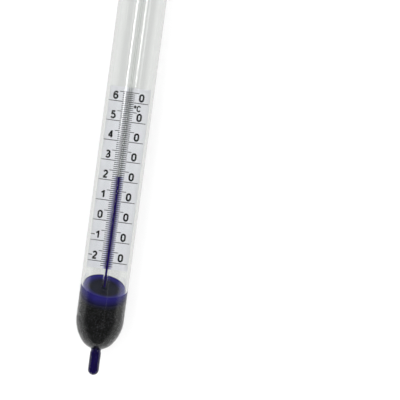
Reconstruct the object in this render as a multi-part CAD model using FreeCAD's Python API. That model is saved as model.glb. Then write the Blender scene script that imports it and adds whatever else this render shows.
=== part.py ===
"""Thermo-hydrometer: a sealed glass float with a thermometer fused into its bottom.

Millimetres. The instrument lies along +X: the thermometer's bulb at the -X end and the
tip of the stem at the +X end. It rests on the cylindrical body, with the temperature
scale facing +Z. The origin is the middle of the instrument's length, on the surface
that it lies on.

Heights are counted along the axis from the bottom tip of the body, as they are read
when the instrument floats upright.
"""
import FreeCAD
import Part
from FreeCAD import Vector
import math
import os

# Body and stem, blown as one piece of glass
body_diameter = 22.0
body_wall = 1.0
body_length = 166.0
bottom_depth = 14.5
bottom_wall = 1.1
bottom_nose_radius = 9.0
shoulder_length = 22.2
stem_diameter = 5.7
stem_wall = 0.4
stem_length = 180.0
tip_wall = 0.9
seal_fillet = 0.25

# Thermometer tube, blown to a bulb at its lower end and fused into the body's bottom
bulb_diameter = 5.0
bulb_length = 11.8
bulb_wall = 0.35
bulb_taper = 1.8
neck_diameter = 4.3
neck_height = 2.4
neck_taper = 5.0
capillary_diameter = 2.1
capillary_height = 170.0
bore_diameter = 0.62
bore_taper = 1.2
chamber_diameter = 1.1
chamber_length = 3.2
chamber_taper = 0.8
chamber_roof = 1.6

# Temperature scale: where its zero stands, the length of a degree there, and how much
# shorter each further degree is
zero_height = 59.3
degree_length = 0.939
degree_change = 0.0003
reading = 22.0

# Strip that carries the temperature scale, behind the thermometer tube
strip_thickness = 0.4
strip_bottom = 37.2
strip_length = 84.1
strip_gap = 0.05
strip_side_gap = 0.25

# Ballast of fine shot, and the resin that was poured on it and set while the instrument
# lay tilted: heights on the axis, slopes in degrees
shot_height = 25.2
shot_slope = 25.0
shot_side_slope = 1.0
resin_height = 28.6
resin_slope = 25.0
resin_side_slope = 4.0
meniscus_reach = 0.8
grain_diameter = 0.7
grain_height = 34.9
grain_side = 0.92

# Rolled paper with the density scale, and the ring of compound that holds it
paper_thickness = 0.12
paper_gap = 0.05
paper_foot_gap = 1.0
paper_lap_angle = 50.0
paper_seam_angle = 31.0
ring_wall = 0.6
ring_length = 3.7
ring_to_tip = 7.5

# Where a meniscus bends, as a share of its reach
MENISCUS_KNEE = 0.3
# Wider than anything that a cutting block has to reach across
BLOCK_SIZE = 4.0 * body_diameter
# Closest match that tells one edge from another
MATCH = 0.001

body_radius = body_diameter / 2.0
hollow_radius = body_radius - body_wall
stem_radius = stem_diameter / 2.0
stem_bore_radius = stem_radius - stem_wall
bulb_radius = bulb_diameter / 2.0
neck_radius = neck_diameter / 2.0
capillary_radius = capillary_diameter / 2.0
bore_radius = bore_diameter / 2.0
chamber_radius = chamber_diameter / 2.0
grain_radius = grain_diameter / 2.0
stem_foot = body_length + shoulder_length
stem_tip = stem_foot + stem_length
overall_length = bulb_length + stem_tip
strip_front = capillary_radius + strip_gap
strip_back = strip_front + strip_thickness
paper_radius = stem_bore_radius - paper_gap
paper_foot = stem_foot + paper_foot_gap
ring_foot = stem_tip - ring_to_tip - ring_length

AXIS = Vector(1, 0, 0)
CENTRE = Vector(0, 0, 0)


def at(height, radius):
    """Point of an outline: height along the axis, radius away from it."""
    return Vector(height, radius, 0)


def line(start, end):
    """Straight edge of an outline."""
    return Part.LineSegment(start, end).toShape()


def arc_about(centre, start, end):
    """Shorter arc about a centre."""
    radius = (start - centre).Length
    towards_middle = (start + end - centre * 2.0).normalize()
    return Part.Arc(start, centre + towards_middle * radius, end).toShape()


def round_end(tip, rim):
    """Half-round end, from its tip on the axis to the rim where the straight part begins."""
    return arc_about(at(rim, 0), at(tip, 0), at(rim, abs(rim - tip)))


def bowl(tip, rim, rim_radius, nose_radius):
    """Two arcs of a deep rounded bottom: the nose, and the flatter side up to the rim."""
    reach = rim - tip
    side_radius = ((reach - nose_radius) ** 2 + rim_radius ** 2 - nose_radius ** 2) / (
        2.0 * (rim_radius - nose_radius)
    )
    nose_centre = at(tip + nose_radius, 0)
    side_centre = at(rim, rim_radius - side_radius)
    join = side_centre + (nose_centre - side_centre).normalize() * side_radius
    return [
        arc_about(nose_centre, at(tip, 0), join),
        arc_about(side_centre, join, at(rim, rim_radius)),
    ]


def swell(low, low_radius, high, high_radius):
    """Two arcs of an S-shaped change of radius, in line with the axis at both ends."""
    change = high_radius - low_radius
    bend = ((high - low) ** 2 + change ** 2) / (4.0 * change)
    middle = (at(low, low_radius) + at(high, high_radius)) * 0.5
    return [
        arc_about(at(low, low_radius + bend), at(low, low_radius), middle),
        arc_about(at(high, high_radius - bend), middle, at(high, high_radius)),
    ]


def turned(low, high, edges):
    """Solid turned from the outline that runs from low to high on the axis."""
    outline = Part.Wire(edges + [line(at(high, 0), at(low, 0))])
    return Part.Face(outline).revolve(CENTRE, AXIS, 360)


def tube(low, high, outer_radius, inner_radius):
    """Straight tube with square ends."""
    outer = Part.makeCylinder(outer_radius, high - low, at(low, 0), AXIS)
    inner = Part.makeCylinder(inner_radius, high - low, at(low, 0), AXIS)
    return outer.cut(inner)


def height_of(degrees):
    """Height of a temperature on its scale."""
    return zero_height + degree_length * degrees - degree_change * degrees ** 2


def body_form(radius, stem, nose, low, high):
    """Form of the body and stem, outside or inside, from low to high on the axis."""
    return turned(low, high, [
        *bowl(low, bottom_depth, radius, nose),
        line(at(bottom_depth, radius), at(body_length, radius)),
        *swell(body_length, radius, stem_foot, stem),
        line(at(stem_foot, stem), at(high - stem, stem)),
        round_end(high, high - stem),
    ])


def body_outside():
    """Body and stem as if they were solid glass."""
    return body_form(body_radius, stem_radius, bottom_nose_radius, 0, stem_tip)


def hollow():
    """Space inside the body and stem."""
    nose = bottom_nose_radius - bottom_wall
    return body_form(hollow_radius, stem_bore_radius, nose, bottom_wall, stem_tip - tip_wall)


def tube_form():
    """Outside of the thermometer tube with its bulb."""
    bulb_tip = -bulb_length
    bulb_rim = bulb_tip + bulb_radius
    taper_end = neck_height + neck_taper
    capillary_rim = capillary_height - capillary_radius
    return turned(bulb_tip, capillary_height, [
        round_end(bulb_tip, bulb_rim),
        line(at(bulb_rim, bulb_radius), at(-bulb_taper, bulb_radius)),
        *swell(-bulb_taper, bulb_radius, 0, neck_radius),
        line(at(0, neck_radius), at(neck_height, neck_radius)),
        *swell(neck_height, neck_radius, taper_end, capillary_radius),
        line(at(taper_end, capillary_radius), at(capillary_rim, capillary_radius)),
        round_end(capillary_height, capillary_rim),
    ])


def bore_form():
    """Space inside the thermometer tube: bulb, bore and the small chamber at its end."""
    bulb_bore = bulb_radius - bulb_wall
    bulb_tip = -bulb_length + bulb_wall
    bulb_rim = bulb_tip + bulb_bore
    neck_bore = neck_radius - bulb_wall
    chamber_top = capillary_height - chamber_roof
    chamber_rim = chamber_top - chamber_radius
    chamber_foot = chamber_top - chamber_length
    chamber_wide = chamber_foot + chamber_taper
    return turned(bulb_tip, chamber_top, [
        round_end(bulb_tip, bulb_rim),
        line(at(bulb_rim, bulb_bore), at(-bulb_taper, bulb_bore)),
        *swell(-bulb_taper, bulb_bore, 0, neck_bore),
        *swell(0, neck_bore, bore_taper, bore_radius),
        line(at(bore_taper, bore_radius), at(chamber_foot, bore_radius)),
        *swell(chamber_foot, bore_radius, chamber_wide, chamber_radius),
        line(at(chamber_wide, chamber_radius), at(chamber_rim, chamber_radius)),
        round_end(chamber_top, chamber_rim),
    ])


def points_on(edge):
    """Both ends and the middle of an edge."""
    middle = edge.valueAt((edge.FirstParameter + edge.LastParameter) / 2.0)
    return [edge.Vertexes[0].Point, middle, edge.Vertexes[-1].Point]


def is_seal(edge):
    """Whether an edge is the ring where the body's bottom meets the tube's neck."""
    for point in points_on(edge):
        off_neck = abs(math.hypot(point.y, point.z) - neck_radius)
        if off_neck > MATCH or not 0 < point.x < bottom_wall:
            return False
    return True


def glass_envelope():
    """Body and stem in one, open only where the thermometer is fused in."""
    stub = Part.makeCylinder(neck_radius, bottom_wall + seal_fillet, at(-seal_fillet, 0), AXIS)
    joined = body_outside().fuse(stub)
    seal = [edge for edge in joined.Edges if is_seal(edge)]
    rounded = joined.makeFillet(seal_fillet, seal)
    return rounded.cut(hollow()).cut(tube_form())


def thermometer_tube():
    """Glass of the thermometer, with its bulb and bore."""
    return tube_form().cut(bore_form())


def thermometric_liquid():
    """Liquid that fills the bulb and the bore up to the reading."""
    empty = Part.makeCylinder(bulb_radius, capillary_height, at(height_of(reading), 0), AXIS)
    return bore_form().cut(empty)


def temperature_scale():
    """Flat strip across the body, close behind the thermometer tube."""
    half_width = math.sqrt(hollow_radius ** 2 - strip_back ** 2) - strip_side_gap
    corner = Vector(strip_bottom, -half_width, -strip_back)
    return Part.makeBox(strip_length, 2.0 * half_width, strip_thickness, corner)


def surface_normal(slope, side_slope):
    """Direction square to a surface that rises towards the back and the left."""
    rise_back = math.tan(math.radians(slope))
    rise_side = math.tan(math.radians(side_slope))
    return Vector(1.0, -rise_side, rise_back).normalize()


def below(height, normal):
    """Block under the tilted surface that crosses the axis at a height."""
    half = BLOCK_SIZE / 2.0
    block = Part.makeBox(BLOCK_SIZE, BLOCK_SIZE, BLOCK_SIZE, Vector(-BLOCK_SIZE, -half, -half))
    block.Placement = FreeCAD.Placement(at(height, 0), FreeCAD.Rotation(AXIS, normal))
    return block


def waterline(radius, height, normal):
    """Ellipse where a round wall of a given radius meets a tilted surface."""
    centre = at(height, 0)
    level = AXIS.cross(normal).normalize()
    uphill = level.cross(normal).normalize()
    steepness = normal.dot(AXIS)
    longest = centre + uphill * (radius / steepness)
    return Part.Wire(Part.Ellipse(longest, centre + level * radius, centre).toShape())


def meniscus_form(wall_radius, inward, height, normal):
    """Space above a liquid's surface, hollowed where the liquid climbs a round wall."""
    foot = wall_radius + inward * meniscus_reach
    knee = wall_radius + inward * meniscus_reach * MENISCUS_KNEE
    rings = [
        waterline(foot, height, normal),
        waterline(knee, height + meniscus_reach * MENISCUS_KNEE, normal),
        waterline(wall_radius, height + meniscus_reach, normal),
    ]
    return Part.makeLoft(rings, True, True)


def ballast_shot():
    """Shot poured round the thermometer, with its tilted top."""
    top = surface_normal(shot_slope, shot_side_slope)
    return hollow().common(below(shot_height, top)).cut(tube_form())


def sealing_resin():
    """Layer over the shot, drawn up where it wets the glass."""
    top = surface_normal(resin_slope, resin_side_slope)
    wetted = hollow().common(below(resin_height + meniscus_reach, top)).cut(tube_form())
    at_body = meniscus_form(hollow_radius, -1.0, resin_height, top)
    at_tube = meniscus_form(capillary_radius, 1.0, resin_height, top)
    shot = below(shot_height, surface_normal(shot_slope, shot_side_slope))
    return wetted.cut(at_body.cut(at_tube)).cut(shot)


def stray_shot():
    """One grain of shot, caught on the wall above the resin."""
    reach = hollow_radius - grain_radius
    depth = math.sqrt(reach ** 2 - grain_side ** 2)
    return Part.makeSphere(grain_radius, Vector(grain_height, grain_side, -depth))


def density_scale():
    """Rolled sheet that lines the stem, lapped over itself along one side."""
    length = ring_foot - paper_foot
    lap_radius = paper_radius - paper_thickness
    roll = tube(paper_foot, ring_foot, paper_radius, lap_radius)
    wedge = Part.makeCylinder(lap_radius, length, at(paper_foot, 0), AXIS, paper_lap_angle)
    core = Part.makeCylinder(lap_radius - paper_thickness, length, at(paper_foot, 0), AXIS)
    lap = wedge.cut(core).rotated(CENTRE, AXIS, paper_seam_angle)
    return roll.fuse(lap).removeSplitter()


def stem_seal():
    """Ring of compound that holds the upper end of the rolled paper."""
    return tube(ring_foot, ring_foot + ring_length, stem_bore_radius, stem_bore_radius - ring_wall)


def main():
    os.makedirs("parts", exist_ok=True)
    pieces = {
        "glass_envelope": glass_envelope(),
        "thermometer_tube": thermometer_tube(),
        "thermometric_liquid": thermometric_liquid(),
        "temperature_scale": temperature_scale(),
        "ballast_shot": ballast_shot(),
        "sealing_resin": sealing_resin(),
        "stray_shot": stray_shot(),
        "density_scale": density_scale(),
        "stem_seal": stem_seal(),
    }
    lying = Vector(bulb_length - overall_length / 2.0, 0, body_radius)
    for name, shape in pieces.items():
        shape.translated(lying).exportStep(f"parts/{name}.step")


main()
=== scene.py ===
"""Looks of a thermo-hydrometer: a sealed glass float with a thermometer fused into its bottom.

The glass pieces are turned from their outlines round the instrument's own axis, which lies
along X. The ballast and the resin are turned and then cut by the tilted planes that they
set at. The scales are thin ink on the strip and on the rolled paper.

Sizes are in millimetres. Heights are measured along the axis from the body's bottom tip.
"""
import math

import bpy
from bpy.props import FloatProperty, IntProperty, PointerProperty, StringProperty
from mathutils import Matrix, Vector


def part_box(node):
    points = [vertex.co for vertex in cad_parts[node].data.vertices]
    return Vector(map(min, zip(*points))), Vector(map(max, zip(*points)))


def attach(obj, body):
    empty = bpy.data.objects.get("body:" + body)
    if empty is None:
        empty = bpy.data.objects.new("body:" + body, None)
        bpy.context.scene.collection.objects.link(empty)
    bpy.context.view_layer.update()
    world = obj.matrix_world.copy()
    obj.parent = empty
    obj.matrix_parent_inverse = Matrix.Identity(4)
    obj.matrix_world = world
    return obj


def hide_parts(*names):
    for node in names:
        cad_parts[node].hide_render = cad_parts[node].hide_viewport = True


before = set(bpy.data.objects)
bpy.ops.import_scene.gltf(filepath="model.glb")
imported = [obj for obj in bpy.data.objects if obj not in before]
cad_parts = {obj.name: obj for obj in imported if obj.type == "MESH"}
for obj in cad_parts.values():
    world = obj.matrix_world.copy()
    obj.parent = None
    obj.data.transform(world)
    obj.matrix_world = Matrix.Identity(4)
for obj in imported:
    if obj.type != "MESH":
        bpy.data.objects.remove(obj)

bl_info = {
    "name": "Thermo-hydrometer",
    "version": (1, 0, 0),
    "blender": (4, 5, 0),
    "location": "3D View > Sidebar > Hydrometer",
    "description": "Builds a glass thermo-hydrometer with its ballast and its two scales",
    "category": "Object",
}

MM = 0.001
# Length of the bulb that stands out below the body
BULB_LENGTH = 11.8
# Where the instrument lies: height of its axis, and the body's bottom tip along X
AXIS_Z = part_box("glass_envelope")[1].z / MM / 2.0
BODY_TIP_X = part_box("thermometer_tube")[0].x / MM + BULB_LENGTH

# Edges round every turned piece, enough for glass to refract without facets
ROUND = 128
# Angle between two faces above which their edge stays sharp
SHARP = math.radians(35.0)
# How far a filling reaches into the glass that holds it, so that no air film shows
WETTED = 0.02

# Rounded bottom of the body: where its side becomes straight, its nose and its glass
BOTTOM_HEIGHT = 14.5
NOSE_RADIUS = 9.0
BOTTOM_WALL = 1.1
# Length of the shoulder between body and stem, and the glass of the stem's tip
SHOULDER_LENGTH = 22.2
TIP_WALL = 0.9

# Thermometer tube: where its bulb ends, its neck ends, and its plain tube starts
BULB_END = -1.8
NECK_END = 2.4
TUBE_START = 7.4
# Its glass round the bulb and above the chamber, and where its bore has narrowed
BULB_WALL = 0.35
TUBE_END_WALL = 1.6
BORE_START = 1.2
# Chamber at the bore's end: its length, its radius and the taper that leads into it
CHAMBER_LENGTH = 3.2
CHAMBER_RADIUS = 0.55
CHAMBER_TAPER = 0.8

# Tilt to the left of the shot's top and of the resin's, degrees
SHOT_SIDE_SLOPE = 1.0
RESIN_SIDE_SLOPE = 4.0
# How far the resin reaches into the shot, and how high it is drawn up the glass
SHOT_OVERLAP = 0.05
MENISCUS = 0.8

# Air between a scale's paper and the glass beside it
PAPER_GAP = 0.05
# Thickness of the rolled paper and of the printed ink
PAPER = 0.12
INK = 0.02
# Longest straight step of a stroke that is printed on the roll
ROLLED_STEP = 0.3
# Ring of compound: its height, and the stem's tip above it
RING_HEIGHT = 3.7
RING_BELOW_TIP = 7.5
# Top line of the density scale below the ring
TOP_LINE_BELOW_RING = 7.2


def to_linear(code):
    """Colour for a shader from a screen colour written as six hex digits."""
    shares = [int(code[i:i + 2], 16) / 255.0 for i in (0, 2, 4)]
    return tuple(c / 12.92 if c <= 0.04045 else ((c + 0.055) / 1.055) ** 2.4 for c in shares) + (1.0,)


def add_node(tree, kind, inputs=None, **settings):
    """Adds a shader node with its settings. A node given as an input links its first output."""
    node = tree.nodes.new("ShaderNode" + kind)
    for name, value in settings.items():
        setattr(node, name, value)
    for socket, value in (inputs or {}).items():
        if isinstance(value, bpy.types.Node):
            value = value.outputs[0]
        if isinstance(value, bpy.types.NodeSocket):
            tree.links.new(value, node.inputs[socket])
        else:
            node.inputs[socket].default_value = value
    return node


def new_material(name):
    """Empty material and its node tree."""
    material = bpy.data.materials.new(name)
    material.use_nodes = True
    material.node_tree.nodes.clear()
    return material, material.node_tree


def surface(material, shader, body=None):
    """Closes a material with its shader, and with what fills it."""
    ends = {"Surface": shader}
    if body is not None:
        ends["Volume"] = body
    add_node(material.node_tree, "OutputMaterial", ends)
    return material


def tube_glass(name, tint):
    """Soda-lime tube glass, drawn and flame-worked: clear, faintly green, fire-polished."""
    material, tree = new_material(name)
    where = add_node(tree, "TexCoord").outputs["Object"]
    waves = add_node(tree, "TexNoise", {
        "Vector": where, "Scale": 90.0, "Detail": 1.0, "Roughness": 0.4,
    })
    # Drawing the tube leaves waves about 11 mm long and far too shallow to feel
    bump = add_node(tree, "Bump", {"Height": waves, "Strength": 0.02, "Distance": 0.2 * MM})
    shader = add_node(tree, "BsdfPrincipled", {
        "Base Color": to_linear(tint), "Roughness": 0.0, "IOR": 1.5, "Transmission Weight": 1.0,
        "Normal": bump,
    })
    # The metal of the glass takes about a fifth of the light over 10 mm, seen at the rims
    body = add_node(tree, "VolumeAbsorption", {"Color": to_linear("616559"), "Density": 26.0})
    return surface(material, shader, body)


def dyed_spirit(settings):
    """Dyed spirit, so strong that it looks opaque: blue black in the bulb, violet in the bore."""
    material, tree = new_material("dyed_spirit")
    where = add_node(tree, "TexCoord").outputs["Object"]
    along_tube = add_node(tree, "SeparateXYZ", {0: where})
    thin = add_node(tree, "MapRange", {
        "Value": along_tube, "From Min": place(-2.0).x, "From Max": place(4.0).x,
    })
    # Clouds of 2.5 mm keep the bulb from looking painted
    cloud = add_node(tree, "TexNoise", {"Vector": where, "Scale": 400.0, "Detail": 1.0})
    deep = add_node(tree, "Mix", {
        0: cloud, 6: to_linear(settings.spirit_colour), 7: to_linear("180852"),
    }, data_type="RGBA")
    colour = add_node(tree, "Mix", {
        0: thin, 6: deep.outputs[2], 7: to_linear("220B70"),
    }, data_type="RGBA")
    shader = add_node(tree, "BsdfPrincipled", {
        "Base Color": colour.outputs[2], "Roughness": 0.3, "IOR": 1.36, "Specular IOR Level": 0.03,
    })
    return surface(material, shader)


def violet_cast(tree, where, tone, thread_top):
    """Painted violet light on the paper close behind the thread of spirit, standing in for the light that
    the thread throws on it.
    """
    place_on = add_node(tree, "SeparateXYZ", {0: where})
    off = add_node(tree, "Math", {0: place_on.outputs[1]}, operation="ABSOLUTE")
    near = add_node(tree, "MapRange", {
        "Value": off, "From Min": 0.6 * MM, "From Max": 2.6 * MM, "To Min": 0.75, "To Max": 0.0,
    }, interpolation_type="SMOOTHSTEP")
    below = add_node(tree, "MapRange", {
        "Value": place_on, "From Min": place(thread_top).x, "From Max": place(thread_top + 0.6).x,
        "To Min": 1.0, "To Max": 0.0,
    })
    share = add_node(tree, "Math", {0: near, 1: below}, operation="MULTIPLY")
    return add_node(tree, "Mix", {
        0: share, 6: tone.outputs[2], 7: to_linear("6A60C0"),
    }, data_type="RGBA")


def scale_paper(name, colour, thread_top=None):
    """Coated white paper: matt, with fibres of about 0.2 mm and clouds of 6 mm that barely show; given the
    thread's top, it also gets painted violet light behind the thread.
    """
    material, tree = new_material(name)
    where = add_node(tree, "TexCoord").outputs["Object"]
    fibres = add_node(tree, "TexNoise", {
        "Vector": where, "Scale": 5000.0, "Detail": 3.0, "Roughness": 0.6,
    })
    clouds = add_node(tree, "TexNoise", {"Vector": where, "Scale": 160.0, "Detail": 2.0})
    share = add_node(tree, "Math", {0: clouds, 1: 0.35}, operation="MULTIPLY")
    tone = add_node(tree, "Mix", {
        0: share, 6: to_linear(colour), 7: to_linear("D9D9E0"),
    }, data_type="RGBA")
    # Painted violet light on the paper behind the thread of spirit
    if thread_top is not None:
        tone = violet_cast(tree, where, tone, thread_top)
    bump = add_node(tree, "Bump", {"Height": fibres, "Strength": 0.15, "Distance": 0.02 * MM})
    shader = add_node(tree, "BsdfPrincipled", {
        "Base Color": tone.outputs[2], "Roughness": 0.75, "Specular IOR Level": 0.25, "Normal": bump,
    })
    return surface(material, shader)


def printed_ink(name, colour):
    """Black printing ink: thin and matt, with breaks of 0.3 mm where the paper's fibres show."""
    material, tree = new_material(name)
    where = add_node(tree, "TexCoord").outputs["Object"]
    breaks = add_node(tree, "TexNoise", {"Vector": where, "Scale": 3500.0, "Detail": 2.0})
    share = add_node(tree, "MapRange", {
        "Value": breaks, "From Min": 0.55, "From Max": 0.8, "To Max": 0.12,
    })
    tone = add_node(tree, "Mix", {
        0: share, 6: to_linear(colour), 7: to_linear("77777A"),
    }, data_type="RGBA")
    shader = add_node(tree, "BsdfPrincipled", {
        "Base Color": tone.outputs[2], "Roughness": 0.6, "Specular IOR Level": 0.2,
    })
    return surface(material, shader)


def about_axis(tree, where):
    """Object coordinates moved so that the instrument's axis runs through their origin."""
    return add_node(tree, "VectorMath", {0: where, 1: (0.0, 0.0, -AXIS_Z * MM)}, operation="ADD")


def over_shot(tree, centred, settings, low, high):
    """Share that grows from 0 to 1 between two heights over the shot's tilted top."""
    above = add_node(tree, "VectorMath", {
        0: centred, 1: slanted(settings.slope, SHOT_SIDE_SLOPE),
    }, operation="DOT_PRODUCT")
    top = place(settings.shot_height).x
    return add_node(tree, "MapRange", {
        "Value": above.outputs["Value"], "From Min": top + low * MM, "From Max": top + high * MM,
    }, interpolation_type="SMOOTHSTEP")


def fine_shot(settings):
    """Fine lead shot, poured: dark dull grains of about 0.4 mm with grey worn faces, and painted shade in
    the gaps between them.
    """
    material, tree = new_material("fine_lead_shot")
    where = add_node(tree, "TexCoord").outputs["Object"]
    # 2300 cells per metre make grains of 0.43 mm
    grains = add_node(tree, "TexVoronoi", {"Vector": where, "Scale": 2300.0})
    each = add_node(tree, "SeparateColor", {0: grains.outputs["Color"]})
    pale = add_node(tree, "MapRange", {
        "Value": each, "From Min": 0.55, "From Max": 1.0, "To Max": 0.6,
    })
    # Painted shade: each grain darkens towards the gaps round it, and the same pattern gives the bump
    gaps_and_painted_shade = add_node(tree, "MapRange", {
        "Value": grains.outputs["Distance"], "From Min": 0.25, "From Max": 0.6,
        "To Min": 1.0, "To Max": 0.15,
    })
    tone = add_node(tree, "Mix", {
        0: pale, 6: to_linear(settings.shot_colour), 7: to_linear("5C5E62"),
    }, data_type="RGBA")
    shaded = add_node(tree, "Mix", {
        0: 1.0, 6: tone.outputs[2], 7: gaps_and_painted_shade,
    }, data_type="RGBA", blend_type="MULTIPLY")
    # The resin soaked into the topmost grains
    soaked = over_shot(tree, about_axis(tree, where), settings, -2.2, 0.2)
    wetted = add_node(tree, "Mix", {
        0: soaked, 6: shaded.outputs[2], 7: to_linear("181743"),
    }, data_type="RGBA")
    bump = add_node(tree, "Bump", {"Height": gaps_and_painted_shade, "Strength": 0.6, "Distance": 0.2 * MM})
    shader = add_node(tree, "BsdfPrincipled", {
        "Base Color": wetted.outputs[2], "Roughness": 0.5, "Specular IOR Level": 0.35,
        "Normal": bump,
    })
    return surface(material, shader)


def blue_resin(settings):
    """Casting resin, poured and dyed blue: dull and almost black in its middle, with painted light that
    turns it blue towards the glass wall.
    """
    material, tree = new_material("dyed_casting_resin")
    where = add_node(tree, "TexCoord").outputs["Object"]
    centred = about_axis(tree, where)
    across = add_node(tree, "VectorMath", {0: centred, 1: (0.0, 1.0, 1.0)}, operation="MULTIPLY")
    reach = add_node(tree, "VectorMath", {0: across}, operation="LENGTH").outputs["Value"]
    # Painted light: the resin goes from near black in the middle to blue towards the glass wall
    rim = add_node(tree, "MapRange", {
        "Value": reach, "From Min": 6.0 * MM, "From Max": 9.9 * MM,
    }, interpolation_type="SMOOTHSTEP")
    wall = add_node(tree, "MapRange", {
        "Value": reach, "From Min": 9.85 * MM, "From Max": 9.98 * MM,
    })
    # Swirls of 3 mm are left from the pouring
    swirls = add_node(tree, "TexNoise", {"Vector": where, "Scale": 300.0, "Detail": 2.0})
    depth = add_node(tree, "Mix", {
        0: swirls, 6: to_linear("15182A"), 7: to_linear("20233C"),
    }, data_type="RGBA")
    colour = add_node(tree, "Mix", {
        0: rim, 6: depth.outputs[2], 7: to_linear(settings.resin_colour),
    }, data_type="RGBA")
    # Along the glass the blue sinks into the dark of the shot below
    clear = over_shot(tree, centred, settings, -0.2, 3.2)
    band = add_node(tree, "Mix", {
        0: clear, 6: to_linear("181743"), 7: to_linear("272078"),
    }, data_type="RGBA")
    thick = add_node(tree, "Mix", {
        0: wall, 6: colour.outputs[2], 7: band.outputs[2],
    }, data_type="RGBA")
    shader = add_node(tree, "BsdfPrincipled", {
        "Base Color": thick.outputs[2], "Roughness": 0.45, "IOR": 1.52, "Specular IOR Level": 0.08,
    })
    return surface(material, shader)


def black_compound():
    """Black sealing compound, melted in: glossy and lumpy, with a blue cast at its lower edge."""
    material, tree = new_material("black_sealing_compound")
    where = add_node(tree, "TexCoord").outputs["Object"]
    # The compound set in lumps of 1.4 mm
    lumps = add_node(tree, "TexNoise", {"Vector": where, "Scale": 700.0, "Detail": 2.0})
    along_stem = add_node(tree, "SeparateXYZ", {0: where})
    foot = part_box("stem_seal")[0].x
    edge = add_node(tree, "MapRange", {
        "Value": along_stem, "From Min": foot, "From Max": foot + 0.6 * MM,
        "To Min": 0.7, "To Max": 0.0,
    })
    colour = add_node(tree, "Mix", {
        0: edge, 6: to_linear("1A1D20"), 7: to_linear("2B2F66"),
    }, data_type="RGBA")
    bump = add_node(tree, "Bump", {"Height": lumps, "Strength": 0.3, "Distance": 0.2 * MM})
    shader = add_node(tree, "BsdfPrincipled", {
        "Base Color": colour.outputs[2], "Roughness": 0.25, "Specular IOR Level": 0.4,
        "Normal": bump,
    })
    return surface(material, shader)


def pale_sweep():
    """Matt white paper sweep that keeps the object's soft shadow."""
    material, tree = new_material("white_paper_sweep")
    path = add_node(tree, "LightPath")
    # Its glow is seen directly, in gloss and through glass, and lights no matt surface
    level = add_node(tree, "MapRange", {
        "Value": path.outputs["Diffuse Depth"], "From Max": 1.0, "To Min": 0.72, "To Max": 0.0,
    })
    # Through the glass the lit part is darker, or the rims would gather far too much of it
    paper = add_node(tree, "MapRange", {
        "Value": path.outputs["Is Camera Ray"], "To Min": 0.03, "To Max": 0.22,
    })
    tone = add_node(tree, "MapRange", {
        "Value": path.outputs["Is Camera Ray"], "To Min": 1.1, "To Max": 1.0,
    })
    diffuse = add_node(tree, "BsdfDiffuse", {"Color": paper})
    glow = add_node(tree, "Emission", {"Color": tone, "Strength": level})
    return surface(material, add_node(tree, "AddShader", {0: diffuse, 1: glow}))


def arc(centre, start, end, steps):
    """Points of the shorter arc about a centre, after its start."""
    first = math.atan2(start[1] - centre[1], start[0] - centre[0])
    last = math.atan2(end[1] - centre[1], end[0] - centre[0])
    turn = (last - first + math.pi) % math.tau - math.pi
    radius = math.dist(centre, start)
    angles = [first + turn * i / steps for i in range(1, steps + 1)]
    return [(centre[0] + radius * math.cos(a), centre[1] + radius * math.sin(a)) for a in angles]


def swell(low, low_radius, high, high_radius, steps):
    """Points of an S-shaped change of radius, after its start."""
    change = high_radius - low_radius
    curve = ((high - low) ** 2 + change ** 2) / (4.0 * change)
    middle = ((low + high) / 2.0, (low_radius + high_radius) / 2.0)
    return (arc((low, low_radius + curve), (low, low_radius), middle, steps)
            + arc((high, high_radius - curve), middle, (high, high_radius), steps))


def bowl(tip, rim, rim_radius, nose_radius, from_radius, steps=20):
    """Points of a rounded bottom, from where it has a given radius up to its rim."""
    reach = rim - tip
    side_radius = ((reach - nose_radius) ** 2 + rim_radius ** 2 - nose_radius ** 2) / (
        2.0 * (rim_radius - nose_radius))
    nose = (tip + nose_radius, 0.0)
    side = (rim, rim_radius - side_radius)
    away = math.dist(nose, side)
    join = (side[0] + (nose[0] - side[0]) * side_radius / away,
            side[1] + (nose[1] - side[1]) * side_radius / away)
    start = (nose[0] - math.sqrt(nose_radius ** 2 - from_radius ** 2), from_radius)
    return [start] + arc(nose, start, join, steps) + arc(side, join, (rim, rim_radius), steps)


def round_foot(foot, radius, steps):
    """Points of a round end that opens from the axis."""
    centre = (foot + radius, 0.0)
    return [(foot, 0.0)] + arc(centre, (foot, 0.0), (foot + radius, radius), steps)


def round_top(top, radius, steps):
    """Points of a round end that closes on the axis."""
    start = (top - radius, radius)
    return [start] + arc((top - radius, 0.0), start, (top, 0.0), steps)


def height_of(settings, degrees):
    """Height of a temperature on its scale, where each degree is a little shorter than the last."""
    return settings.zero_height + settings.degree_length * degrees - 0.0003 * degrees ** 2


def stem_foot(settings):
    """Height at which the shoulder ends and the stem starts."""
    return settings.body_length + SHOULDER_LENGTH


def ring_foot(settings):
    """Height of the lower edge of the ring of compound."""
    return stem_foot(settings) + settings.stem_length - RING_BELOW_TIP - RING_HEIGHT


def place(height, across=0.0, up=0.0):
    """Place in metres of a height on the axis, a distance across it and one above it."""
    return Vector((BODY_TIP_X + height, across, AXIS_Z + up)) * MM


def rolled(height, turn, radius):
    """Place on the roll: height on the axis and angle from the front towards the left."""
    return place(height, radius * math.sin(math.radians(turn)), radius * math.cos(math.radians(turn)))


def along(length):
    """Way in metres along the axis."""
    return Vector((length * MM, 0.0, 0.0))


def slanted(slope, side_slope):
    """Direction square to a surface that rises towards the back and the left."""
    return Vector((1.0, -math.tan(math.radians(side_slope)), math.tan(math.radians(slope))))


def name_piece(piece, name):
    """Names an object and its mesh alike."""
    piece.name = name
    piece.data.name = name


def pick(pieces):
    """Selects only these objects and makes the first one active."""
    bpy.ops.object.select_all(action="DESELECT")
    for piece in pieces:
        piece.select_set(True)
    bpy.context.view_layer.objects.active = pieces[0]


def extrude(way):
    """Extrudes what is selected by a way in metres."""
    bpy.ops.mesh.extrude_region_move(TRANSFORM_OT_translate={"value": way})


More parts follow.
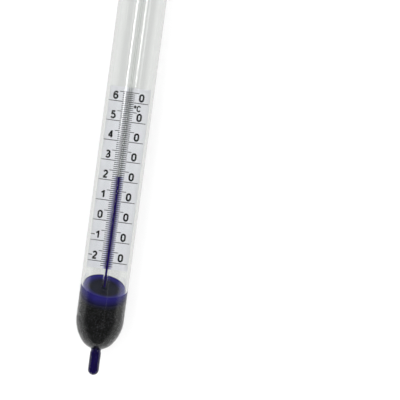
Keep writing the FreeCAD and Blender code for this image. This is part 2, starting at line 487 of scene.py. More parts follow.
def merge_doubles():
    """Merges what lies on the same place."""
    bpy.ops.mesh.select_all(action="SELECT")
    bpy.ops.mesh.remove_doubles(threshold=0.0005 * MM)


def face_outwards(inside=False):
    """Turns all faces outwards, or inwards for a hollow."""
    bpy.ops.mesh.select_all(action="SELECT")
    bpy.ops.mesh.normals_make_consistent(inside=inside)


def start_piece(name, where):
    """New mesh of one vertex, left in edit mode."""
    bpy.ops.object.select_all(action="DESELECT")
    bpy.ops.mesh.primitive_plane_add(size=MM, location=where)
    piece = bpy.context.active_object
    name_piece(piece, name)
    bpy.ops.object.mode_set(mode="EDIT")
    bpy.ops.mesh.select_mode(type="VERT")
    bpy.ops.mesh.select_all(action="SELECT")
    bpy.ops.mesh.merge(type="CENTER")
    return piece


def drawn(name, points):
    """New mesh of one line through places in metres, left in edit mode."""
    piece = start_piece(name, points[0])
    for last, point in zip(points, points[1:]):
        extrude(point - last)
    return piece


def close_piece(piece, smooth=SHARP):
    """Leaves edit mode, puts the object at the origin and smooths its round faces."""
    bpy.ops.object.mode_set(mode="OBJECT")
    bpy.ops.object.transform_apply(location=True, rotation=True, scale=True)
    if smooth:
        bpy.ops.object.shade_smooth_by_angle(angle=smooth)
    return piece


def spun(name, outline, inside=False, steps=ROUND):
    """Wall turned from an outline of heights and radii, left in edit mode."""
    piece = drawn(name, [place(height, 0.0, radius) for height, radius in outline])
    bpy.ops.mesh.select_all(action="SELECT")
    bpy.ops.mesh.spin(steps=steps, angle=math.tau, center=place(0.0), axis=(1.0, 0.0, 0.0))
    merge_doubles()
    face_outwards(inside)
    return piece


def turned(name, outline, inside=False):
    """Finished piece turned from an outline of heights and radii."""
    return close_piece(spun(name, outline, inside))


def join_pieces(name, pieces):
    """Joins meshes into the first one."""
    pick(pieces)
    if len(pieces) > 1:
        bpy.ops.object.join()
    joined = bpy.context.active_object
    name_piece(joined, name)
    return joined


def thicken(piece, thickness, even=False):
    """Gives a sheet its thickness, half of it on each side."""
    wall = piece.modifiers.new("thickness", "SOLIDIFY")
    wall.thickness = thickness * MM
    wall.offset = 0.0
    wall.use_even_offset = even
    bpy.ops.object.modifier_apply(modifier="thickness")


def dress(piece, material, replaced=()):
    """Gives a piece its material, and its place among the frame's bodies and nodes."""
    piece.data.materials.clear()
    piece.data.materials.append(material)
    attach(piece, "root")
    for node in replaced:
        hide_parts(node)


def tube_outside(settings):
    """Outline of the thermometer tube with its bulb, from the bulb's tip to the tube's end."""
    bulb = settings.bulb_diameter / 2.0
    neck = settings.neck_diameter / 2.0
    thin = settings.capillary_diameter / 2.0
    return (round_foot(-settings.bulb_length, bulb, 16)
            + [(BULB_END, bulb)] + swell(BULB_END, bulb, 0.0, neck, 6)
            + [(NECK_END, neck)] + swell(NECK_END, neck, TUBE_START, thin, 10)
            + round_top(settings.capillary_height, thin, 10))


def bore_outline(settings, grow=0.0, reading=None):
    """Outline of the space in the thermometer tube, whole or filled to a reading."""
    bulb = settings.bulb_diameter / 2.0 - BULB_WALL
    neck = settings.neck_diameter / 2.0 - BULB_WALL
    bore = settings.bore_diameter / 2.0
    outline = (round_foot(-settings.bulb_length + BULB_WALL, bulb, 14)
               + [(BULB_END, bulb)] + swell(BULB_END, bulb, 0.0, neck, 5)
               + swell(0.0, neck, BORE_START, bore, 10))
    if reading is None:
        top = settings.capillary_height - TUBE_END_WALL
        foot = top - CHAMBER_LENGTH
        return (outline + [(foot, bore)] + swell(foot, bore, foot + CHAMBER_TAPER, CHAMBER_RADIUS, 5)
                + round_top(top, CHAMBER_RADIUS, 6))
    top = height_of(settings, reading)
    filled = [(height, radius + grow if radius > 0.0 else 0.0) for height, radius in outline]
    # The thread ends in a hollow meniscus
    return filled + [(top + 0.12, bore + grow), (top + 0.03, 0.6 * bore), (top, 0.0)]


def cut_tilted(height, slope, side_slope, above=True):
    """Cuts the piece in edit mode along a tilted surface and clears one side."""
    bpy.ops.mesh.select_all(action="SELECT")
    bpy.ops.mesh.bisect(plane_co=place(height), plane_no=slanted(slope, side_slope).normalized(),
                        clear_outer=above, clear_inner=not above, threshold=0.0001 * MM)


def pick_open(piece, wanted=None):
    """Selects a mesh's open edges, or those whose middle passes a test in millimetres."""
    bpy.ops.object.mode_set(mode="OBJECT")
    bpy.context.tool_settings.mesh_select_mode = (False, True, False)
    mesh = piece.data
    faces_of = {}
    for polygon in mesh.polygons:
        polygon.select = False
        for key in polygon.edge_keys:
            faces_of[key] = faces_of.get(key, 0) + 1
    for vertex in mesh.vertices:
        vertex.select = False
    for edge in mesh.edges:
        ends = [mesh.vertices[index] for index in edge.vertices]
        edge.select = False
        if faces_of.get(edge.key, 0) == 1:
            middle = piece.matrix_world @ ((ends[0].co + ends[1].co) / 2.0) / MM
            edge.select = wanted is None or wanted(middle.x - BODY_TIP_X, middle.y, middle.z - AXIS_Z)
        if edge.select:
            for end in ends:
                end.select = True
    bpy.ops.object.mode_set(mode="EDIT")


class HydrometerSettings(bpy.types.PropertyGroup):
    """Sizes in millimetres and screen colours of the instrument."""

    body_diameter: FloatProperty(name="Body diameter", description="Across the body, mm", default=22.0)
    body_wall: FloatProperty(name="Body wall", description="Glass of the body, mm", default=1.0)
    body_length: FloatProperty(name="Body length", description="Bottom tip to shoulder, mm", default=166.0)
    stem_diameter: FloatProperty(name="Stem diameter", description="Across the stem, mm", default=5.7)
    stem_wall: FloatProperty(name="Stem wall", description="Glass of the stem, mm", default=0.4)
    stem_length: FloatProperty(name="Stem length", description="Shoulder to tip, mm", default=180.0)
    bulb_diameter: FloatProperty(name="Bulb diameter", description="Across the bulb, mm", default=5.0)
    bulb_length: FloatProperty(name="Bulb length", description="Bulb below the body, mm",
                               default=BULB_LENGTH)
    neck_diameter: FloatProperty(name="Neck diameter", description="Where the tube is fused in, mm",
                                 default=4.3)
    capillary_diameter: FloatProperty(name="Capillary diameter", description="Across the tube, mm",
                                      default=2.1)
    capillary_height: FloatProperty(name="Capillary height", description="Where the tube ends, mm",
                                    default=170.0)
    bore_diameter: FloatProperty(name="Bore diameter", description="Across the bore, mm", default=0.62)
    reading: FloatProperty(name="Reading", description="Temperature shown, degrees Celsius", default=22.0)
    zero_height: FloatProperty(name="Zero height", description="Where 0 degrees stands, mm", default=59.3)
    degree_length: FloatProperty(name="Degree length", description="Length of a degree at 0, mm",
                                 default=0.939)
    shot_height: FloatProperty(name="Shot height", description="Top of the shot on the axis, mm",
                               default=25.2)
    resin_height: FloatProperty(name="Resin height", description="Top of the resin on the axis, mm",
                                default=28.6)
    figure_height: FloatProperty(name="Figure height", description="Of the temperature figures, mm",
                                 default=3.85)
    word_height: FloatProperty(name="Word height", description="Of the capitals on the stem, mm",
                               default=2.05)
    slope: FloatProperty(name="Slope", description="Tilt of both tops to the back, degrees", default=25.0)
    divisions: IntProperty(name="Divisions", description="Lines of the density scale", default=100)
    division_length: FloatProperty(name="Division", description="Between two lines on the stem, mm",
                                   default=1.219)
    first_figure: IntProperty(name="First figure", description="Density at the top line, kg/m3",
                              default=1050)
    glass_tint: StringProperty(name="Glass tint", description="Screen colour", default="FDFEFD")
    spirit_colour: StringProperty(name="Spirit", description="Screen colour", default="0E0340")
    resin_colour: StringProperty(name="Resin", description="Screen colour", default="4A45B0")
    shot_colour: StringProperty(name="Shot", description="Screen colour", default="15181B")
    paper_colour: StringProperty(name="Paper", description="Screen colour", default="F3F3F9")
    ink_colour: StringProperty(name="Ink", description="Screen colour", default="0E0E12")


class HYDROMETER_OT_glass_body(bpy.types.Operator):
    """Blown glass of the body and stem, with its even wall"""
    bl_idname = "hydrometer.glass_body"
    bl_label = "Glass body"

    def execute(self, context):
        s = context.scene.hydrometer
        outer = s.body_diameter / 2.0
        stem = s.stem_diameter / 2.0
        neck = s.neck_diameter / 2.0 - WETTED
        tip = stem_foot(s) + s.stem_length
        outside = self.side(s, 0.0, outer, stem, tip, neck)
        inside = self.side(s, BOTTOM_WALL, outer - s.body_wall, stem - s.stem_wall, tip - TIP_WALL, neck)
        # The seal bulges a little where the tube was melted into the bottom
        seal = [(-0.1, neck + 0.3), (-0.25, neck + 0.12), (-0.25, neck)]
        outline = list(reversed(outside[1:])) + seal + inside
        dress(turned("glass_body", outline), tube_glass("clear_tube_glass", s.glass_tint),
              ("glass_envelope",))
        return {"FINISHED"}

    def side(self, s, bottom, body, stem, tip, neck):
        """Outline of one side of the glass, from the seal round the neck to the stem's tip."""
        return (bowl(bottom, BOTTOM_HEIGHT, body, NOSE_RADIUS - bottom, neck) + [(s.body_length, body)]
                + swell(s.body_length, body, stem_foot(s), stem, 20) + round_top(tip, stem, 14))


class HYDROMETER_OT_thermometer(bpy.types.Operator):
    """Thermometer tube with its bulb and bore, and the spirit in it"""
    bl_idname = "hydrometer.thermometer"
    bl_label = "Thermometer"

    def execute(self, context):
        s = context.scene.hydrometer
        outside = turned("tube_outside", tube_outside(s))
        bore = turned("tube_bore", bore_outline(s), inside=True)
        tube = join_pieces("thermometer_glass", [outside, bore])
        dress(tube, tube_glass("clear_capillary_glass", s.glass_tint),
              ("thermometer_tube",))
        spirit = turned("spirit_column", bore_outline(s, WETTED, s.reading))
        dress(spirit, dyed_spirit(s), ("thermometric_liquid",))
        return {"FINISHED"}


class HYDROMETER_OT_ballast(bpy.types.Operator):
    """Fine shot round the foot of the thermometer, with its tilted top"""
    bl_idname = "hydrometer.ballast"
    bl_label = "Ballast"

    def execute(self, context):
        s = context.scene.hydrometer
        neck = s.neck_diameter / 2.0
        thin = s.capillary_diameter / 2.0
        # Half of the grains' spread, so that more of them touch the glass than not
        contact = 0.03
        wall = s.body_diameter / 2.0 - s.body_wall + contact
        outline = [(40.0, thin), (TUBE_START, thin)]
        outline += list(reversed(swell(NECK_END, neck, TUBE_START, thin, 10)))[1:]
        outline += [(NECK_END, neck)] + bowl(BOTTOM_WALL - contact, BOTTOM_HEIGHT, wall,
                                             NOSE_RADIUS - BOTTOM_WALL + contact, neck, 40)
        # Rows close together up the wall, so that each grain there can stand by itself
        outline += [(15.0 + 0.3 * row, wall) for row in range(60)]
        piece = spun("shot_ballast", outline, steps=2 * ROUND)
        # The shot is dry: its grains touch the glass here and there, with air between
        bpy.ops.mesh.select_all(action="SELECT")
        bpy.ops.transform.vertex_random(offset=2.0 * contact * MM, uniform=0.0, normal=1.0, seed=7)
        cut_tilted(s.shot_height, s.slope, SHOT_SIDE_SLOPE)
        pick_open(piece)
        bpy.ops.mesh.bridge_edge_loops()
        face_outwards()
        dress(close_piece(piece, math.radians(70.0)), fine_shot(s), ("ballast_shot",))
        self.stray_grain(s)
        return {"FINISHED"}

    def stray_grain(self, s):
        """One grain that stuck to the wall above the resin."""
        bpy.ops.object.select_all(action="DESELECT")
        radius = 0.35
        height = 34.9
        across = 1.2
        depth = math.sqrt((s.body_diameter / 2.0 - s.body_wall - radius) ** 2 - across ** 2)
        middle = place(height, across, -depth)
        bpy.ops.mesh.primitive_ico_sphere_add(subdivisions=3, radius=radius * MM, location=middle)
        grain = bpy.context.active_object
        name_piece(grain, "stray_grain")
        bpy.ops.object.mode_set(mode="EDIT")
        bpy.ops.mesh.select_all(action="SELECT")
        bpy.ops.transform.resize(value=(0.95, 0.8, 0.9), center_override=middle)
        bpy.ops.transform.vertex_random(offset=0.03 * MM, seed=4)
        dress(close_piece(grain), fine_shot(s), ("stray_shot",))


class HYDROMETER_OT_resin(bpy.types.Operator):
    """Blue resin over the shot, drawn up where it wets the glass"""
    bl_idname = "hydrometer.resin"
    bl_label = "Resin"

    def execute(self, context):
        s = context.scene.hydrometer
        foot = s.shot_height - SHOT_OVERLAP
        walls = []
        for name, radius, inward, below in (
                ("resin_outer", s.body_diameter / 2.0 - s.body_wall + WETTED, -1.0, 8.0),
                ("resin_inner", s.capillary_diameter / 2.0 - WETTED, 1.0, 2.0)):
            piece = spun(name, [(BOTTOM_HEIGHT + 0.1, radius), (45.0, radius)])
            cut_tilted(s.resin_height + MENISCUS, s.slope, RESIN_SIDE_SLOPE)
            cut_tilted(foot, s.slope, SHOT_SIDE_SLOPE, above=False)
            # Open edges from this far below the level are drawn along the glass. On the outer
            # wall they include most of the tilted lower rim, so the hidden underside stays open
            pick_open(piece, lambda height, across, up: height >= s.resin_height - below)
            self.draw_meniscus(s.resin_height, radius, inward)
            walls.append(close_piece(piece, None))
        resin = join_pieces("blue_resin", walls)
        self.bridge_open(resin, s.resin_height, slanted(s.slope, RESIN_SIDE_SLOPE))
        self.bridge_open(resin, foot, slanted(s.slope, SHOT_SIDE_SLOPE))
        face_outwards()
        bpy.ops.object.mode_set(mode="OBJECT")
        bpy.ops.object.shade_smooth_by_angle(angle=SHARP)
        dress(resin, blue_resin(s), ("sealing_resin",))
        return {"FINISHED"}

    def draw_meniscus(self, level, radius, inward):
        """Extrudes the picked edges down and away from the glass on a hollow curve."""
        height = level + MENISCUS
        width = radius
        for step in range(1, 7):
            turn = math.radians(15.0 * step)
            next_height = level + MENISCUS * (1.0 - math.sin(turn))
            next_width = radius + inward * MENISCUS * (1.0 - math.cos(turn))
            extrude(along(next_height - height))
            share = next_width / width
            bpy.ops.transform.resize(value=(share, share, share), center_override=place(next_height))
            height = next_height
            width = next_width

    def bridge_open(self, resin, level, slant):
        """Bridges the open edges that lie on a tilted surface."""
        pick_open(resin, lambda height, across, up:
                  abs(height - level + across * slant.y + up * slant.z) < 0.02)
        bpy.ops.mesh.bridge_edge_loops()


def ink_line(name, low, high, left, right, front):
    """Thin raised line of ink: heights, sides and the front that it is printed on."""
    bpy.ops.object.select_all(action="DESELECT")
    middle = place((low + high) / 2.0, (left + right) / 2.0, front + INK / 2.0)
    bpy.ops.mesh.primitive_cube_add(size=1.0, location=middle)
    piece = bpy.context.active_object
    piece.name = name
    bpy.ops.object.mode_set(mode="EDIT")
    bpy.ops.mesh.select_all(action="SELECT")
    bpy.ops.transform.resize(value=((high - low) * MM, abs(left - right) * MM, INK * MM))
    return piece


def marks_of(numbers, every):
    """Numbers whose lines are of one length: the tens, the fives between them or the others."""
    return [n for n in numbers if (10 if n % 10 == 0 else 5 if n % 5 == 0 else 1) == every]


def repeat_line(line, heights):
    """Copies a line of ink in edit mode from its first height to the others."""
    for last, height in zip(heights, heights[1:]):
        bpy.ops.mesh.duplicate_move(TRANSFORM_OT_translate={"value": along(height - last)})
    return close_piece(line, None)


def bend(middle, reach, start, end, steps=7):
    """Points of part of an ellipse: its middle, its half sizes and two angles in degrees."""
    turns = [math.radians(start + (end - start) * i / steps) for i in range(steps + 1)]
    return [(middle[0] + reach[0] * math.cos(t), middle[1] + reach[1] * math.sin(t)) for t in turns]


def draw_signs():
    """Strokes of each printed sign, as lines through a box that is one wide and one high."""
    crown = bend((0.5, 0.7), (0.5, 0.3), 0.0, 180.0)
    three = (bend((0.46, 0.76), (0.44, 0.24), 155.0, -80.0)
             + bend((0.48, 0.28), (0.52, 0.28), 80.0, -155.0))
    small_loop = bend((0.5, 0.36), (0.5, 0.36), 0.0, 360.0, 12)
    six = [bend((0.5, 0.31), (0.5, 0.31), 0.0, 360.0, 12),
           bend((0.56, 0.6), (0.56, 0.4), 40.0, 180.0) + [(0.0, 0.31)]]
    return {
        "0": [crown + bend((0.5, 0.3), (0.5, 0.3), 180.0, 360.0) + crown[:1]],
        "1": [[(0.87, 0.0), (0.87, 1.07)], [(0.0, 0.72), (0.45, 0.82), (0.87, 1.0)]],
        "2": [bend((0.5, 0.72), (0.46, 0.28), 165.0, -30.0) + [(0.03, 0.03)],
              [(-0.1, 0.0), (1.0, 0.0)]],
        "3": [three],
        "4": [[(0.72, 0.0), (0.72, 1.07)], [(0.7, 0.98), (0.0, 0.3)], [(-0.1, 0.27), (1.05, 0.27)]],
        "5": [[(0.93, 1.0), (0.2, 1.0), (0.12, 0.48)],
              bend((0.46, 0.32), (0.54, 0.32), 132.0, -155.0)],
        "6": six,
        "7": [[(0.0, 1.0), (1.1, 1.0)], [(1.0, 1.0), (0.55, 0.5), (0.35, 0.0)]],
        "8": [bend((0.5, 0.76), (0.42, 0.24), 0.0, 360.0, 12),
              bend((0.5, 0.27), (0.5, 0.27), 0.0, 360.0, 12)],
        "9": [[(1.0 - u, 1.0 - v) for u, v in stroke] for stroke in six],
        "-": [[(0.0, 0.36), (1.0, 0.36)]],
        ".": [[(0.0, 0.0), (1.0, 0.0)]],
        "/": [[(0.0, -0.02), (1.0, 1.02)]],
        "°": [bend((0.5, 0.8), (0.5, 0.2), 0.0, 360.0, 10)],
        "³": [[(u, 0.5 + 0.5 * v) for u, v in three]],
        "C": [bend((0.52, 0.64), (0.52, 0.36), 25.0, 180.0)
              + bend((0.52, 0.36), (0.52, 0.36), 180.0, 335.0)],
        "N": [[(0.0, 0.0), (0.0, 1.0)], [(0.03, 0.97), (0.97, 0.03)], [(1.0, 0.0), (1.0, 1.0)]],
        "T": [[(0.0, 1.0), (1.0, 1.0)], [(0.5, 1.0), (0.5, 0.0)]],
        "g": [small_loop, [(1.0, 0.72), (1.0, -0.05)] + bend((0.5, -0.05), (0.5, 0.2), 0.0, -150.0)],
        "k": [[(0.0, 0.0), (0.0, 1.0)], [(0.95, 0.72), (0.0, 0.25)], [(0.35, 0.42), (1.0, 0.0)]],
        "m": [[(0.0, 0.0), (0.0, 0.72)], bend((0.25, 0.48), (0.25, 0.24), 180.0, 0.0) + [(0.5, 0.0)],
              bend((0.75, 0.48), (0.25, 0.24), 180.0, 0.0) + [(1.0, 0.0)]],
        "p": [[(0.0, 0.72), (0.0, -0.27)], small_loop],
    }


SIGNS = draw_signs()
# Width of a figure as a share of its height, and of the signs that differ from it
FIGURE_WIDTH = 0.65
WIDTHS = {"1": 0.54, "-": 0.42, ".": 0.3, "/": 0.45, "°": 0.42, "³": 0.42, "C": 0.68, "N": 0.9,
          "T": 0.85, "g": 0.7, "k": 0.7, "m": 1.12, "p": 0.7}


def finely(line, longest):
    """The same line with its points no further apart than the longest step."""
    fine = [line[0]]
    for start, end in zip(line, line[1:]):
        parts = math.ceil(math.dist(start, end) / longest)
        fine += [(start[0] + (end[0] - start[0]) * i / parts, start[1] + (end[1] - start[1]) * i / parts)
                 for i in range(1, parts + 1)]
    return fine


def ink_bar(points, bold, roll):
    """Bar of ink along a stroke, raised from a flat strip or from a roll of some radius."""
    bar = drawn("stroke", points)
    merge_doubles()
    extrude((0.0, 0.0, 0.0 if roll else INK * MM))
    if roll:
        share = 1.0 + INK / roll
        bpy.ops.transform.resize(value=(1.0, share, share), center_override=place(0.0))
    close_piece(bar, None)
    thicken(bar, bold, even=True)
    return bar


def print_word(name, text, put, height, length, bold, roll=None):
    """Prints a word: its signs stand evenly over its length, where put says on the paper."""
    widths = [WIDTHS.get(sign, FIGURE_WIDTH) * height for sign in text]
    gap = (length - sum(widths)) / max(1, len(text) - 1)
    bars = []
    start = bold / 2.0
    for sign, width in zip(text, widths):
        for stroke in SIGNS[sign]:
            line = [(start + u * (width - bold), bold / 2.0 + v * (height - bold)) for u, v in stroke]
            if roll:
                line = finely(line, ROLLED_STEP)
            bars.append(ink_bar([put(u, v) for u, v in line], bold, roll))
        start += width + gap
    return join_pieces(name, bars)


class HYDROMETER_OT_temperature_scale(bpy.types.Operator):
    """Strip behind the thermometer, with its lines and figures in ink"""
    bl_idname = "hydrometer.temperature_scale"
    bl_label = "Temperature scale"

    def execute(self, context):
        s = context.scene.hydrometer
        front = -(s.capillary_diameter / 2.0 + PAPER_GAP)
        ink = printed_ink("printing_ink_on_strip", s.ink_colour)
        lines = []
        # Left end, right end and width of the lines for each degree, each five and each ten
        for every, left, right, width in ((1, 3.22, -2.34, 0.31), (5, 4.82, -4.13, 0.31),
                                          (10, 9.6, -8.91, 0.32)):
            heights = [height_of(s, degrees) for degrees in marks_of(range(-22, 66), every)]
            line = ink_line(f"lines_each_{every}", heights[0] - width / 2.0, heights[0] + width / 2.0,
                            left, right, front)
            lines.append(repeat_line(line, heights))
        dress(join_pieces("temperature_lines", lines), ink)
        self.print_figures(s, front, ink)
        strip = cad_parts["temperature_scale"]
        strip.data.materials.clear()
        strip.data.materials.append(scale_paper("coated_scale_paper", s.paper_colour,
                                                height_of(s, s.reading)))
        return {"FINISHED"}

    def print_figures(self, s, front, ink):
        """Tens on the left of the tube and noughts on its right, each above its line."""
        high = s.figure_height
        # Middles across the strip, heights above the lines, and widths of the strokes
        tens_middle = 6.5
        tens_lift = 0.7
        tens_bold = 0.78
        nought_middle = -5.56
        nought_lift = 0.6
        nought_bold = 0.82
        minus_ends = (9.6, 7.75)
        minus_bold = 0.48
        pieces = []
        for tens in range(-2, 7):
            foot = height_of(s, tens * 10) + tens_lift
            pieces.append(self.word(str(abs(tens)), foot, tens_middle, high, tens_bold, front))
            if tens < 0:
                level = foot + high / 2.0
                pieces.append(ink_bar([place(level, end, front) for end in minus_ends], minus_bold, None))
        lowest = height_of(s, -20.0)
        nought = self.word("0", lowest + nought_lift, nought_middle, high, nought_bold, front)
        pieces.append(nought)
        for tens in range(-1, 7):
            pick([nought])
            away = height_of(s, tens * 10) - lowest
            bpy.ops.object.duplicate_move(TRANSFORM_OT_translate={"value": along(away)})
            bpy.ops.object.transform_apply(location=True, rotation=True, scale=True)
            pieces.append(bpy.context.active_object)
        pieces.append(self.word("°C", 110.6, -4.15, 2.9, 0.55, front))
        dress(join_pieces("temperature_figures", pieces), ink)

    def word(self, text, foot, middle, high, bold, front):
        """Word on the strip, read from the side: its foot, its middle across and its height."""
        length = sum(WIDTHS.get(sign, FIGURE_WIDTH) for sign in text) * high + 0.1 * (len(text) - 1)

        def put(u, v):
            return place(foot + v, middle + length / 2.0 - u, front)

        return print_word("figure", text, put, high, length, bold)


class HYDROMETER_OT_density_scale(bpy.types.Operator):
    """Rolled paper in the stem with its density scale, and the ring that holds it"""
    bl_idname = "hydrometer.density_scale"
    bl_label = "Density scale"

    def execute(self, context):
        s = context.scene.hydrometer
        radius = s.stem_diameter / 2.0 - s.stem_wall - PAPER_GAP
        dress(self.rolled_paper(stem_foot(s) + 1.0, ring_foot(s), radius),
              scale_paper("rolled_scale_paper", s.paper_colour), ("density_scale",))
        ink = printed_ink("printing_ink_on_roll", s.ink_colour)
        self.print_lines(s, radius, ink)
        self.print_words(s, radius, ink)
        self.seal_ring(s)
        return {"FINISHED"}

    def rolled_paper(self, low, high, radius):
        """Sheet rolled once round, lapped over itself on one side."""
        points = []
        for step in range(0, 141):
            # Steps of 3 degrees: from the 108th to the 116th the sheet dips under its own start
            dip = min(1.0, max(0.0, (step - 108) / 8.0))
            points.append(rolled(low, -44.0 - 3.0 * step, radius - PAPER / 2.0 - dip * (PAPER + 0.01)))
        piece = drawn("paper_roll", points)
        bpy.ops.mesh.select_all(action="SELECT")
        extrude(along(high - low))
        close_piece(piece, SHARP)
        thicken(piece, PAPER)
        return piece

    def print_lines(self, s, radius, ink):
        """Lines of the density scale, and the strong and the faint line along the stem."""
        pieces = []
        top = ring_foot(s) - TOP_LINE_BELOW_RING
        line_width = 0.16
        first_turn = 38.0
        # Degrees round the stem that each kind of line takes up from its first turn
        for name, every, reach in (("each_line", 1, 34.0), ("fifth_line", 5, 50.0),
                                   ("tenth_line", 10, 70.0)):
            heights = [top - count * s.division_length
                       for count in marks_of(range(s.divisions + 1), every)]
            line = self.curved_line(name, heights[0], line_width, first_turn, first_turn + reach,
                                    radius)
            pieces.append(repeat_line(line, heights))
        low = stem_foot(s) + 1.3
        for name, turn, width in (("strong_line", 31.0, 5.0), ("faint_line", -46.0, 2.5)):
            line = self.curved_line(name, (ring_foot(s) + low) / 2.0, ring_foot(s) - low,
                                    turn - width / 2.0, turn + width / 2.0, radius)
            pieces.append(close_piece(line, None))
        dress(join_pieces("density_lines", pieces), ink)

    def print_words(self, s, radius, ink):
        """Units along the stem, and the figures of the scale on the far side of its lines."""
        high = s.word_height
        # Turn from the front at which the middle of the words lies
        word_turn = -8.0
        pieces = []
        # Each word, the distance of its middle below the ring, and its length
        for text, below, length in (("mN/m", 59.6, 9.1), ("33", 67.1, 3.4), ("-", 72.6, 0.9),
                                    ("15°C", 79.7, 7.4), ("Tp.", 87.3, 4.7), ("kg/m³", 96.7, 8.9),
                                    ("-", 104.7, 0.9)):
            start = ring_foot(s) - below - length / 2.0
            foot = word_turn - math.degrees(high / 2.0 / radius)

            def along_stem(u, v):
                return rolled(start + u, foot + math.degrees(v / radius), radius)

            pieces.append(print_word("unit", text, along_stem, high, length, 0.36, radius))
        # Figures of the scale: height, step from one to the next, stroke and turn of their end
        high = 1.4
        step = 1.1
        bold = 0.22
        end_turn = 113.0
        for tens in range(6):
            # Only the first and the last figure are written in full
            text = str(s.first_figure + 10 * tens)
            text = text if tens in (0, 5) else text[2:]
            length = len(text) * step - bold
            middle = ring_foot(s) - TOP_LINE_BELOW_RING - 20.0 * tens * s.division_length
            left = end_turn + math.degrees(length / radius)

            def across_stem(u, v):
                return rolled(middle - high / 2.0 + v, left - math.degrees(u / radius), radius)

            pieces.append(print_word("figure", text, across_stem, high, length, bold, radius))
        dress(join_pieces("density_figures", pieces), ink)

    def curved_line(self, name, height, width, start, end, radius):
        """Thin line of ink round part of the roll, left in edit mode."""
        low = height - width / 2.0
        high = height + width / 2.0
        corners = [rolled(low, start, radius), rolled(high, start, radius),
                   rolled(high, start, radius + INK), rolled(low, start, radius + INK)]
        piece = drawn(name, corners + corners[:1])
        merge_doubles()
        bpy.ops.mesh.edge_face_add()
        steps = max(2, round((end - start) / 4.0))
        bpy.ops.mesh.spin(steps=steps, angle=math.radians(end - start), center=place(0.0),
                          axis=(1.0, 0.0, 0.0))
        face_outwards()
        return piece

    def seal_ring(self, s):
        """Ring of compound that was melted in over the paper's upper end."""
        foot = ring_foot(s)
        top = foot + RING_HEIGHT
        outer = s.stem_diameter / 2.0 - s.stem_wall + WETTED
        inner = outer - WETTED - 0.6
        # Its inner edges are rounder than its outer ones
        outline = [(foot + 0.15, inner + 0.1), (foot, inner + 0.3), (foot, outer - 0.05),
                   (foot + 0.05, outer), (top - 0.05, outer), (top, outer - 0.1),
                   (top - 0.15, inner + 0.25), (top - 0.4, inner), (foot + 0.4, inner),
                   (foot + 0.15, inner + 0.1)]
        dress(turned("sealing_ring", outline), black_compound(), ("stem_seal",))


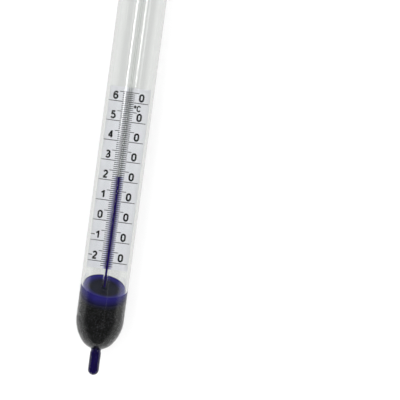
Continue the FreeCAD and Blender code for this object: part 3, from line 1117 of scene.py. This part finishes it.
class HYDROMETER_OT_stage(bpy.types.Operator):
    """Floor, lamps, world and camera"""
    bl_idname = "hydrometer.stage"
    bl_label = "Stage"

    def execute(self, context):
        bpy.ops.object.select_all(action="DESELECT")
        bpy.ops.mesh.primitive_plane_add(size=8.0, location=(0.0, 0.0, 0.0))
        floor = context.active_object
        floor.name = "floor"
        floor.data.materials.append(pale_sweep())
        self.world(context.scene)
        self.lamp("soft_box", (-0.2, 0.75, 1.1), 0.9, 4.0)
        self.camera(context.scene)
        return {"FINISHED"}

    def world(self, scene):
        """White studio with a dark ceiling, and tall panes of light that streak the glass."""
        world = bpy.data.worlds.new("studio")
        world.use_nodes = True
        tree = world.node_tree
        tree.nodes.clear()
        path = add_node(tree, "LightPath")
        way = add_node(tree, "SeparateXYZ", {0: add_node(tree, "TexCoord").outputs["Generated"]})
        # Angle from straight up, towards the left side of the instrument
        turn = add_node(tree, "Math", {0: way.outputs[1], 1: way.outputs[2]}, operation="ARCTAN2")
        spread = add_node(tree, "Math", {0: turn}, operation="ABSOLUTE")
        total = add_node(tree, "MapRange", {
            "Value": spread, "From Min": math.radians(62.0), "From Max": math.radians(95.0),
            "To Min": 0.08, "To Max": 0.9,
        }, interpolation_type="SMOOTHSTEP")
        # Middle, half width and softness of each pane in degrees, its level, and where its foot fades
        for middle, half, soft, level, near, far in (
                (21.5, 3.6, 1.2, 8.0, 0.006, 0.055),
                (-42.0, 3.0, 1.5, 2.0, 0.02, 0.075),
                (-21.5, 2.5, 1.5, 0.3, -9.0, -8.0)):
            pane = self.pane(tree, turn, way, math.radians(middle), math.radians(half - soft),
                             math.radians(half + soft), level, near, far)
            total = add_node(tree, "Math", {0: total, 1: pane}, operation="ADD")
        seen = add_node(tree, "Mix", {0: path, 2: total, 3: 1.0})
        lights = add_node(tree, "MapRange", {
            "Value": path.outputs["Diffuse Depth"], "From Max": 1.0,
        })
        level = add_node(tree, "Mix", {0: lights, 2: seen, 3: 1.7})
        glow = add_node(tree, "Background", {"Color": to_linear("FFFFFF"), "Strength": level})
        add_node(tree, "OutputWorld", {"Surface": glow})
        scene.world = world

    def pane(self, tree, turn, way, middle, inner, outer, level, near, far):
        """Light of a tall pane, which fades between two angles from its middle and at its foot."""
        off = add_node(tree, "Math", {0: turn, 1: middle}, operation="SUBTRACT")
        away = add_node(tree, "Math", {0: off}, operation="ABSOLUTE")
        inside = add_node(tree, "MapRange", {
            "Value": away, "From Min": inner, "From Max": outer, "To Min": level, "To Max": 0.0,
        }, interpolation_type="SMOOTHSTEP")
        foot = add_node(tree, "MapRange", {
            "Value": way, "From Min": near, "From Max": far,
        }, interpolation_type="SMOOTHSTEP")
        return add_node(tree, "Math", {0: inside, 1: foot}, operation="MULTIPLY")

    def lamp(self, name, where, size, power):
        """Soft square lamp that gives the object its shadow and doesn't show in the glass."""
        bpy.ops.object.light_add(type="AREA", location=where)
        lamp = bpy.context.active_object
        lamp.name = name
        lamp.data.size = size
        lamp.data.energy = power
        target = Vector((where[0], 0.0, AXIS_Z * MM))
        lamp.rotation_euler = (target - Vector(where)).to_track_quat("-Z", "Y").to_euler()
        lamp.visible_glossy = False
        lamp.visible_transmission = False

    def camera(self, scene):
        """Long lens straight above the body, turned as the instrument leans in the picture."""
        bpy.ops.object.camera_add(location=(-0.10386, -0.03827, 1.0318),
                                  rotation=(0.0, 0.0, math.radians(-82.4)))
        camera = bpy.context.active_object
        camera.name = "camera"
        camera.data.lens = 200.0
        camera.data.sensor_width = 36.0
        scene.camera = camera
        scene.view_settings.view_transform = "Standard"


class HYDROMETER_PT_panel(bpy.types.Panel):
    """Steps of the build, in their order"""
    bl_idname = "HYDROMETER_PT_panel"
    bl_label = "Thermo-hydrometer"
    bl_space_type = "VIEW_3D"
    bl_region_type = "UI"
    bl_category = "Hydrometer"

    def draw(self, context):
        settings = context.scene.hydrometer
        for name in settings.bl_rna.properties.keys():
            if name not in ("rna_type", "name"):
                self.layout.prop(settings, name)
        for step in STEPS:
            self.layout.operator(step.bl_idname)


STEPS = (
    HYDROMETER_OT_glass_body,
    HYDROMETER_OT_thermometer,
    HYDROMETER_OT_ballast,
    HYDROMETER_OT_resin,
    HYDROMETER_OT_temperature_scale,
    HYDROMETER_OT_density_scale,
    HYDROMETER_OT_stage,
)
CLASSES = (HydrometerSettings, *STEPS, HYDROMETER_PT_panel)


def register():
    for kind in CLASSES:
        bpy.utils.register_class(kind)
    bpy.types.Scene.hydrometer = PointerProperty(type=HydrometerSettings)


def unregister():
    del bpy.types.Scene.hydrometer
    for kind in reversed(CLASSES):
        bpy.utils.unregister_class(kind)


def main():
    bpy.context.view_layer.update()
    register()
    bpy.ops.hydrometer.glass_body()
    bpy.ops.hydrometer.thermometer()
    bpy.ops.hydrometer.ballast()
    bpy.ops.hydrometer.resin()
    bpy.ops.hydrometer.temperature_scale()
    bpy.ops.hydrometer.density_scale()
    bpy.ops.hydrometer.stage()


if __name__ == "__main__":
    main()
